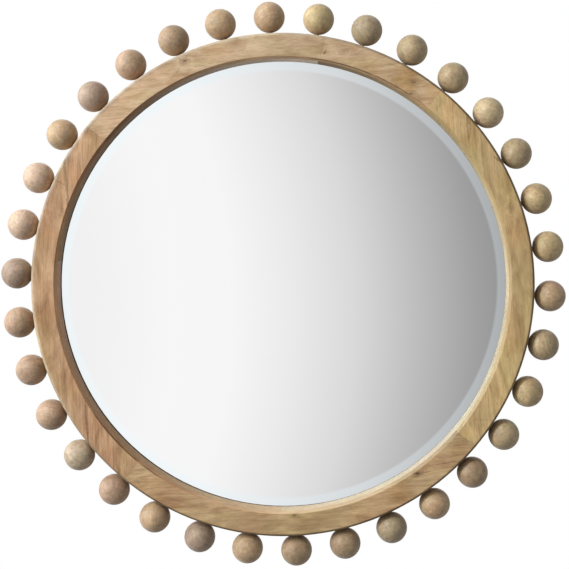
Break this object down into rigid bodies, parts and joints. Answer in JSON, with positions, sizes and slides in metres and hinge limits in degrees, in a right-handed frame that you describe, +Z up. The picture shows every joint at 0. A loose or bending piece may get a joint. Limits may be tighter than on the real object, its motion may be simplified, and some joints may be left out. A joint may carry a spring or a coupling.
{
  "type": "bevelled wall mirror",
  "caption": "Round wall mirror: bevelled glass in a thick wooden ring, edged all round with turned wooden balls on dowels, with strap hangers on its back.",
  "frame": {"origin": "on the ring's axis, at the centre of the whole mirror's box, halfway between the front of the ring and the wall", "axes": "+Y points from the glass to the wall, so the glass faces -Y, +Z is up as it hangs, and +X is to the right for someone who looks into the glass"},
  "size_m": [0.9132, 0.054, 0.9128],
  "materials": {
    "ball_wood": "turned hardwood, dry matt finish, each ball of its own shade",
    "face_wood": "solid hardwood, straight grain, dry matt finish with small knots",
    "ring_wood": "solid hardwood, dry matt finish",
    "dowel_wood": "plain hardwood dowel",
    "mirror": "silvered glass, polished bevel",
    "felt": "felt tape",
    "foam": "closed-cell foam sheet",
    "fibreboard": "plain medium-density fibreboard",
    "plated_steel": "zinc plated, satin",
    "screw_steel": "zinc plated",
    "ring_wire": "nickel plated wire",
    "bumper_rubber": "soft rubber"
  },
  "bodies": {
    "frame": {"ball_01": "ball_wood", "ball_02": "ball_wood", "ball_03": "ball_wood", "ball_04": "ball_wood", "ball_05": "ball_wood", "ball_06": "ball_wood", "ball_07": "ball_wood", "ball_08": "ball_wood", "ball_09": "ball_wood", "ball_10": "ball_wood", "ball_11": "ball_wood", "ball_12": "ball_wood", "ball_13": "ball_wood", "ball_14": "ball_wood", "ball_15": "ball_wood", "ball_16": "ball_wood", "ball_17": "ball_wood", "ball_18": "ball_wood", "ball_19": "ball_wood", "ball_20": "ball_wood", "ball_21": "ball_wood", "ball_22": "ball_wood", "ball_23": "ball_wood", "ball_24": "ball_wood", "ball_25": "ball_wood", "ball_26": "ball_wood", "ball_27": "ball_wood", "ball_28": "ball_wood", "ball_29": "ball_wood", "ball_30": "ball_wood", "ball_31": "ball_wood", "ball_32": "ball_wood", "ball_33": "ball_wood", "ball_34": "ball_wood", "ball_dowels": "dowel_wood", "front_felloe_1": "face_wood", "front_felloe_2": "face_wood", "front_felloe_3": "face_wood", "front_felloe_4": "face_wood", "rear_felloe_1": "ring_wood", "rear_felloe_2": "ring_wood", "rear_felloe_3": "ring_wood", "rear_felloe_4": "ring_wood", "mirror_glass": "mirror", "glass_cushion": "felt", "packing_foam": "foam", "backing_board": "fibreboard", "turn_button_screws": "screw_steel", "hanger_strap_left": "plated_steel", "hanger_strap_right": "plated_steel", "hanger_screws": "screw_steel", "wall_bumpers": "bumper_rubber"},
    "left_loop": {"d_ring_left": "ring_wire"},
    "right_loop": {"d_ring_right": "ring_wire"},
    "button_1": {"turn_button_1": "plated_steel"},
    "button_2": {"turn_button_2": "plated_steel"},
    "button_3": {"turn_button_3": "plated_steel"},
    "button_4": {"turn_button_4": "plated_steel"},
    "button_5": {"turn_button_5": "plated_steel"},
    "button_6": {"turn_button_6": "plated_steel"}
  },
  "joints": [
    {"name": "left_loop_swing", "type": "hinge", "parent": "frame", "child": "left_loop", "pos_m": [-0.29608, 0.02356, 0.24844], "axis": [-0.766, 0, 0.6428], "range_deg": [0, 165]},
    {"name": "right_loop_swing", "type": "hinge", "parent": "frame", "child": "right_loop", "pos_m": [0.29608, 0.02356, 0.24844], "axis": [-0.766, 0, -0.6428], "range_deg": [0, 165]},
    {"name": "button_1_turn", "type": "hinge", "parent": "frame", "child": "button_1", "pos_m": [0.38, 0.021, 0], "axis": [0, 1, 0], "continuous": true},
    {"name": "button_2_turn", "type": "hinge", "parent": "frame", "child": "button_2", "pos_m": [0.19, 0.021, 0.32909], "axis": [0, 1, 0], "continuous": true},
    {"name": "button_3_turn", "type": "hinge", "parent": "frame", "child": "button_3", "pos_m": [-0.19, 0.021, 0.32909], "axis": [0, 1, 0], "continuous": true},
    {"name": "button_4_turn", "type": "hinge", "parent": "frame", "child": "button_4", "pos_m": [-0.38, 0.021, 0], "axis": [0, 1, 0], "continuous": true},
    {"name": "button_5_turn", "type": "hinge", "parent": "frame", "child": "button_5", "pos_m": [-0.19, 0.021, -0.32909], "axis": [0, 1, 0], "continuous": true},
    {"name": "button_6_turn", "type": "hinge", "parent": "frame", "child": "button_6", "pos_m": [0.19, 0.021, -0.32909], "axis": [0, 1, 0], "continuous": true}
  ]
}
